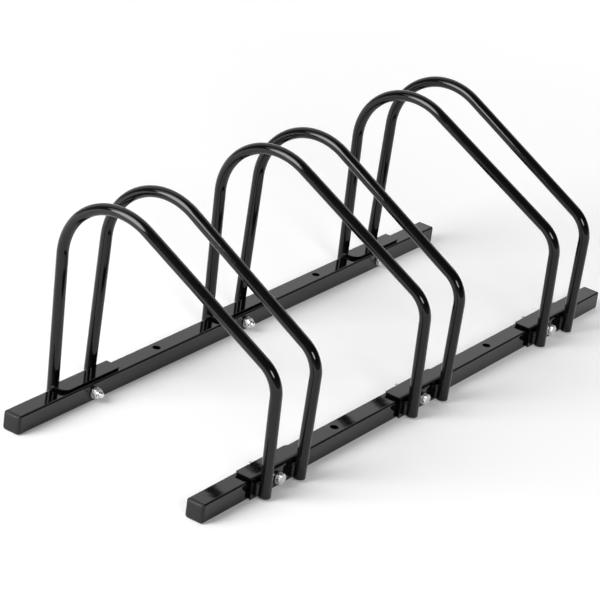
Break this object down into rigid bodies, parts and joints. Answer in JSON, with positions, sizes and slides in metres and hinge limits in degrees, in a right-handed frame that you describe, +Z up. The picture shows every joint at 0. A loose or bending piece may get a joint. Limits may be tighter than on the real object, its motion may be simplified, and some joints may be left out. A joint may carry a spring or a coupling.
{
  "type": "floor bicycle rack",
  "caption": "Floor-standing bicycle rack: pairs of bent tube hoops bolted across square steel rails hold the wheels upright.",
  "frame": {"origin": "on the floor, under the middle of the rack's bounding box", "axes": "+X along the rails, +Y from the low front of the hoops to their high back, +Z up"},
  "size_m": [0.72, 0.2742, 0.2309],
  "materials": {
    "black_paint": "gloss black",
    "cap_plastic": "satin dark grey",
    "zinc": "bright zinc plate"
  },
  "bodies": {
    "root": {"front_rail": "black_paint", "front_left_end_cap": "cap_plastic", "front_right_end_cap": "cap_plastic", "rear_rail": "black_paint", "rear_left_end_cap": "cap_plastic", "rear_right_end_cap": "cap_plastic", "wheel_1_left_hoop": "black_paint", "wheel_1_right_hoop": "black_paint", "wheel_2_left_hoop": "black_paint", "wheel_2_right_hoop": "black_paint", "wheel_3_left_hoop": "black_paint", "wheel_3_right_hoop": "black_paint", "front_bracket_1": "black_paint", "front_bolt_1": "zinc", "front_head_washer_1": "zinc", "front_nut_washer_1": "zinc", "front_lock_nut_1": "zinc", "front_bracket_2": "black_paint", "front_bolt_2": "zinc", "front_head_washer_2": "zinc", "front_nut_washer_2": "zinc", "front_lock_nut_2": "zinc", "front_bracket_3": "black_paint", "front_bolt_3": "zinc", "front_head_washer_3": "zinc", "front_nut_washer_3": "zinc", "front_lock_nut_3": "zinc", "rear_bracket_1": "black_paint", "rear_bolt_1": "zinc", "rear_head_washer_1": "zinc", "rear_nut_washer_1": "zinc", "rear_lock_nut_1": "zinc", "rear_bracket_2": "black_paint", "rear_bolt_2": "zinc", "rear_head_washer_2": "zinc", "rear_nut_washer_2": "zinc", "rear_lock_nut_2": "zinc", "rear_bracket_3": "black_paint", "rear_bolt_3": "zinc", "rear_head_washer_3": "zinc", "rear_nut_washer_3": "zinc", "rear_lock_nut_3": "zinc"}
  },
  "joints": []
}
